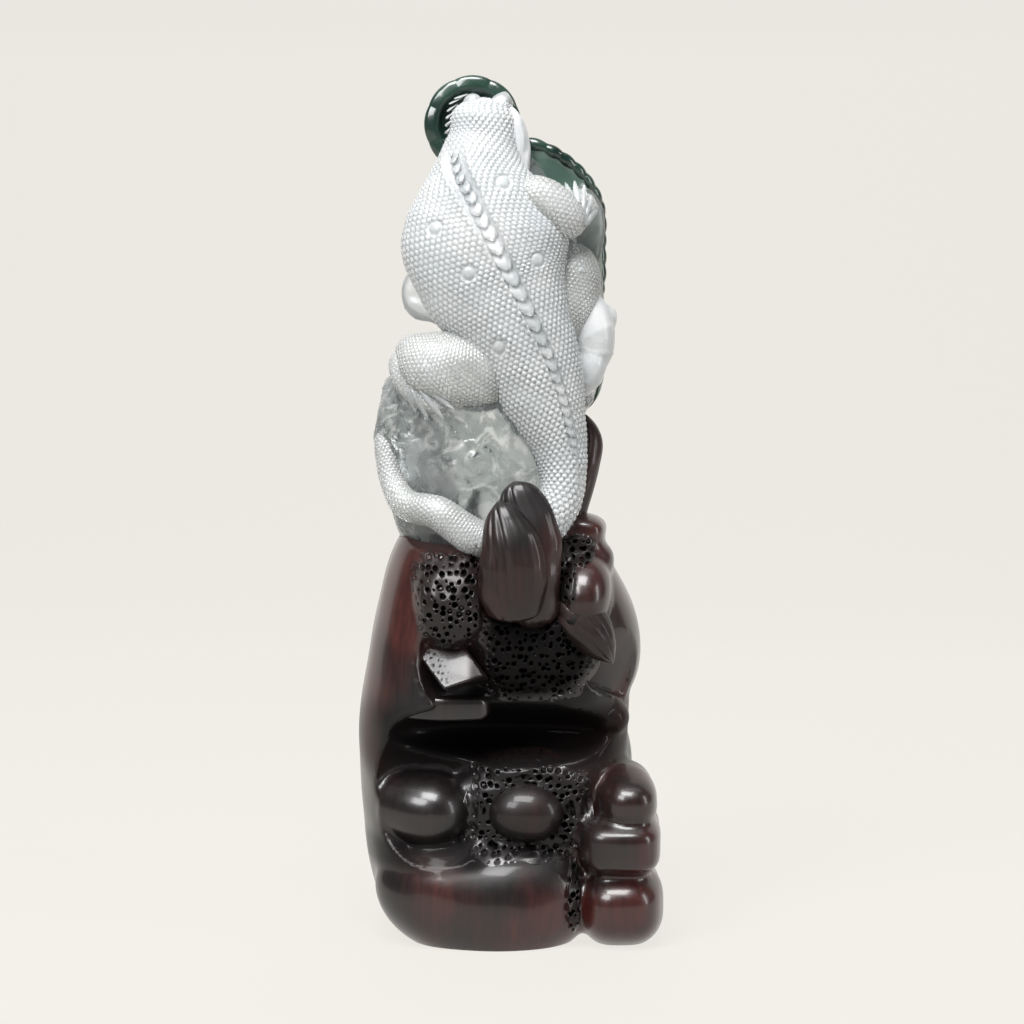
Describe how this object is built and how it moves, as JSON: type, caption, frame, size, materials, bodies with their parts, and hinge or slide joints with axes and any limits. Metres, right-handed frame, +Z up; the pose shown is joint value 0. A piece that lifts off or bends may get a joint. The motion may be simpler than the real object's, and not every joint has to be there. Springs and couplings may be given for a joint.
{
  "type": "quartz lizard carving",
  "caption": "Upright quartz carving of a lizard climbing a rock among dark green leaves, seated in a carved rosewood stand.",
  "frame": {"origin": "on the table, on the flat underside of the wooden stand, below the middle of the carving", "axes": "+Z up, +X to the carving's right as it is looked at, -Y towards the viewer, who sees the lizard's back"},
  "size_m": [0.1135, 0.1096, 0.3195],
  "materials": {
    "quartz": "frosted clear quartz with carved scales, and glossy dark green leaves in the same stone",
    "rosewood": "dark red-brown to black rosewood, lacquered and glossy, with drilled pits"
  },
  "bodies": {
    "root": {"quartz_carving": "quartz", "wooden_stand": "rosewood"}
  },
  "joints": []
}
